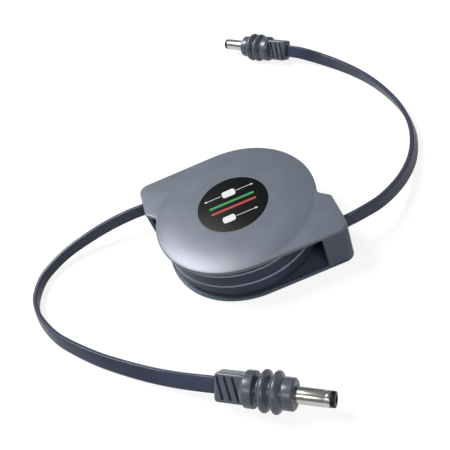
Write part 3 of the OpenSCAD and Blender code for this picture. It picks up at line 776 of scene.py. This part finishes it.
def relief_slots():
    """Cutters for the slots: flat bars with round ends, slanted on both broad faces."""
    flat = [(SLIT_R * math.cos(math.radians(a)),
             end * SLIT_RUN / 2 + SLIT_R * math.sin(math.radians(a)))
            for end, first in ((1, 0), (-1, 180)) for a in range(first, first + 181, 30)]
    out = []
    for face in (1, -1):
        for i in range(3):
            x = SLIT_FIRST + SLIT_PITCH * i
            rings = []
            for deep, swell in ((1.9, 1.0), (3.0, 1.05), (3.12, 1.35), (3.6, 1.5)):
                rings.append([
                    (x + swell * u * math.cos(SLIT_SLANT) + v * math.sin(SLIT_SLANT),
                     face * deep,
                     v * math.cos(SLIT_SLANT) - swell * u * math.sin(SLIT_SLANT))
                    for u, v in flat])
            out.append(loft(rings))
    return out


# %% Plug solids
body_section = rounded([(0.05, RELIEF - 0.6), (5.2, RELIEF - 0.6, 0), (5.6, RELIEF),
                        (COLLAR_R, RELIEF + 0.6), (COLLAR_R, COLLAR), (4.25, COLLAR),
                        (4.15, SEAL), (4.15, NOSE), (NOSE_R, NOSE),
                        (NOSE_R, BARREL - 0.55, 0.35), (4.75, BARREL, 0.3), (2.5, BARREL, 0.05),
                        (2.5, TAIL, 0), (0.05, TAIL, 0)], 0.3, 4)


def seal_section():
    """Two ridges: straight flanks that rise from the sleeve and a round crest on each."""
    corners = [(4.2, SEAL, 0), (SLEEVE_R, SEAL, 0.2)]
    for i in (0, 1):
        centre = SEAL + 0.1 + (i + 0.5) * RIB_PITCH
        corners += [(SLEEVE_R, centre - RIB_FOOT, 0.35)]
        corners += [(RIB_R - RIB_ROUND + RIB_ROUND * math.cos(math.radians(a)),
                     centre + RIB_ROUND * math.sin(math.radians(a)), 0)
                    for a in range(-50, 51, 10)]
        corners += [(SLEEVE_R, centre + RIB_FOOT, 0.35)]
    return rounded(corners + [(SLEEVE_R, NOSE, 0.2), (4.2, NOSE, 0)], 0.2, 4)


# The barrel has a fine groove near its tip. The core is the insulator's hidden part.
GROOVE_BACK, GROOVE_FRONT = TIP - 1.6, TIP - 1.1
barrel_section = rounded([(BORE_R, TAIL, 0), (2.45, TAIL, 0), (2.45, BARREL, 0),
                          (BARREL_R, BARREL, 0.05), (BARREL_R, GROOVE_BACK, 0.1),
                          (2.55, GROOVE_BACK, 0.05), (2.55, GROOVE_FRONT, 0.05),
                          (BARREL_R, GROOVE_FRONT, 0.1), (BARREL_R, TIP, 0.25),
                          (BORE_R, TIP, 0.05)], 0.05, 4)
tip_section = rounded([(PIN_R + 0.1, TIP - 1, 0), (BORE_R, TIP - 1, 0), (BORE_R, TIP, 0),
                       (2.6, TIP, 0.05), (2.6, TIP + TIP_LEN, 0.35),
                       (PIN_R + 0.1, TIP + TIP_LEN, 0.2)], 0.1, 5)
core_section = [(CONTACT_R, CORE_BACK), (BORE_R, CORE_BACK), (BORE_R, CORE_FRONT),
                (CONTACT_R, CORE_FRONT)]
contact_section = rounded([(PIN_R, CORE_BACK, 0), (CONTACT_R, CORE_BACK, 0),
                           (CONTACT_R, TIP, 0.05), (PIN_R, TIP, 0.1)], 0.05, 3)
print("a plug is", round(TIP + TIP_LEN, 1), "mm long")

# %% Both plugs
for name, plug in (("left", LEFT_PLUG), ("right", RIGHT_PLUG)):
    grip = new_object(name + "_plug_relief", placed(relief(), plug))
    cut(grip, *[placed(s, plug) for s in relief_slots()])
    rounds = new_object(name + "_plug_overmould", placed(lathe(body_section, 96, "X"), plug))
    parts = [finish_piece(join(rounds, grip), "case", "plug_grip", plug_pvc, name + "_plug_body")]
    for part, section, slot, material in (
            ("seal", seal_section(), "plug_seal", plug_pvc),
            ("barrel", barrel_section, "barrel", nickel),
            ("insulator", None, "insulator", black_nylon),
            ("contact", contact_section, "contact", gilt)):
        solid = (lathe(section, 96, "X") if section else
                 together(lathe(tip_section, 96, "X"), lathe(core_section, 96, "X")))
        obj = new_object(f"{name}_plug_{part}_turned", placed(solid, plug))
        parts.append(finish_piece(obj, "case", slot, material, f"{name}_plug_{part}"))

# %% [markdown]
# ## The cords
# The free ribbons are the cords of this object, swept above as strips.

# %% [markdown]
# ## Label
# A round film label fills the recess. It is black, with a plain layout of its own: two white
# rounded blocks with thin arrows that point outwards, a green bar and a red bar. Each mark is a
# thin printed film, 0.02 mm proud, so it shows in the exported mesh too. The layout has no
# letters.

# %% Label disc
label_section = rounded([(0.05, LABEL_Z), (LABEL_R, LABEL_Z, 0), (LABEL_R, LABEL_Z + LABEL_T, 0.1),
                         (0.05, LABEL_Z + LABEL_T, 0)], 0.05, 4)
finish_piece(new_object("label_film_disc", lathe(label_section, 128)), "case", "label", label_film,
             "label_disc")
INK_LOW, INK_TOP = LABEL_Z + LABEL_T - 0.005, LABEL_Z + LABEL_T + 0.02


def ink(name, code):
    return moulded(name, code, code, 0.38, 0.3, 0.002, rough_spread=0.03)


white_ink, green_ink, red_ink = (ink("white_print", "#f2f3f2"), ink("green_print", "#3fa564"),
                                 ink("red_print", "#c4493c"))


def mark(corners, radius=0.0):
    """A thin film of ink with these corners."""
    flat = rounded(corners, radius, 4) if radius else corners
    return loft([[(x, y, z) for x, y in flat] for z in (INK_LOW, INK_TOP)])


def block(x, y, w, h, radius):
    return mark([(x - w / 2, y - h / 2), (x + w / 2, y - h / 2), (x + w / 2, y + h / 2),
                 (x - w / 2, y + h / 2)], radius)


def arrow(x0, x1, y, half=0.13, head=0.55):
    neck = x1 - math.copysign(2 * head, x1 - x0)
    return mark([(x0, y - half), (neck, y - half), (neck, y - head), (x1, y),
                 (neck, y + head), (neck, y + half), (x0, y + half)])


white_marks = [block(0, 6.4, 5.6, 3.6, 1.1), arrow(-3.2, -10.6, 6.4), arrow(3.2, 10.6, 6.4),
               block(-3.4, -7.0, 5.2, 3.4, 1.1), arrow(-0.4, 8.6, -7.0)]
green_marks = [block(0, 1.6, 19.0, 1.1, 0.5)]
red_marks = [block(0, -1.6, 19.0, 1.1, 0.5)]
for name, marks, material in (("white_marks", white_marks, white_ink),
                              ("green_bar", green_marks, green_ink),
                              ("red_bar", red_marks, red_ink)):
    finish_piece(new_object("label_" + name, together(*marks)), "case", "label", material)

# %% [markdown]
# ## Floor and light
# The object lies on a white table. The table's paint is a pale grey that takes the object's shadow,
# and a glow that the camera sees, and reflections see more weakly, brings it up to paper white. The
# sky is white for the camera, weak in reflections and weaker still as light. A large soft lamp
# behind and to the left stands for a window and gives the gradient over the dome. Two much weaker
# ones, at the front left and in front, open the shadows.

# %% Floor
TABLE_GLOW, TABLE_MIRRORED, TABLE_GREY, TABLE_HALF = 0.85, 0.6, 0.3, 3000
SKY_MIRRORED, SKY_LIGHT = 0.2, 0.05


def seen_share(tree, mirrored_share):
    """1 for the camera and through clear things, a share of that in reflections, or else 0."""
    path = add(tree, "ShaderNodeLightPath").outputs
    mirrored = add(tree, "ShaderNodeMath", {0: path["Is Glossy Ray"]}, {1: mirrored_share},
                   operation="MULTIPLY")
    seen = add(tree, "ShaderNodeMath", {0: path["Is Camera Ray"], 1: mirrored.outputs[0]},
               operation="MAXIMUM")
    seen = add(tree, "ShaderNodeMath", {0: seen.outputs[0], 1: path["Is Transmission Ray"]},
               operation="MAXIMUM")
    return seen.outputs[0]


def white_table():
    material, tree = blank("white_table")
    glow = add(tree, "ShaderNodeMath", {0: seen_share(tree, TABLE_MIRRORED)}, {1: TABLE_GLOW},
               operation="MULTIPLY")
    light = add(tree, "ShaderNodeEmission", {"Strength": glow.outputs[0]})
    paint = add(tree, "ShaderNodeBsdfDiffuse", inputs={"Color": (*[TABLE_GREY] * 3, 1.0)})
    both = add(tree, "ShaderNodeAddShader", {0: light.outputs[0], 1: paint.outputs[0]})
    add(tree, "ShaderNodeOutputMaterial", {"Surface": both.outputs[0]})
    return material


table = new_object("table", ([(x * TABLE_HALF, y * TABLE_HALF, -0.02) for x, y in (
    (-1, -1), (1, -1), (1, 1), (-1, 1))], [(0, 1, 2, 3)]))
table.data.materials.append(white_table())
print("table:", table.name)


# %% Lamps and world
def lamp(name, place, aim, size, power):
    data = bpy.data.lights.new(name, "AREA")
    data.shape, data.size, data.energy = "DISK", size * MM, power
    obj = bpy.data.objects.new(name, data)
    bpy.context.scene.collection.objects.link(obj)
    turn = (Vector(place) - Vector(aim)).to_track_quat("Z", "Y").to_matrix().to_4x4()
    obj.matrix_world = Matrix.Translation(Vector(place) * MM) @ turn
    return obj


lamp("window", (-270, 290, 580), (0, 0, 0), 360, 4.6)
lamp("front", (-320, -270, 470), (0, -40, 0), 200, 0.34)
lamp("side", (140, -500, 330), (0, -30, 0), 240, 0.7)


def sky():
    world = bpy.data.worlds.new("studio")
    bpy.context.scene.world = world
    world.use_nodes = True
    tree = world.node_tree
    tree.nodes.clear()
    seen = add(tree, "ShaderNodeMath", {0: seen_share(tree, SKY_MIRRORED)}, {1: SKY_LIGHT},
               operation="MAXIMUM")
    air = add(tree, "ShaderNodeBackground", {"Strength": seen.outputs[0]}, {"Color": (1, 1, 1, 1)})
    add(tree, "ShaderNodeOutputWorld", {"Surface": air.outputs[0]})


sky()
bpy.context.scene.view_settings.view_transform = "Standard"
print("lamps:", [data.name for data in bpy.data.lights])
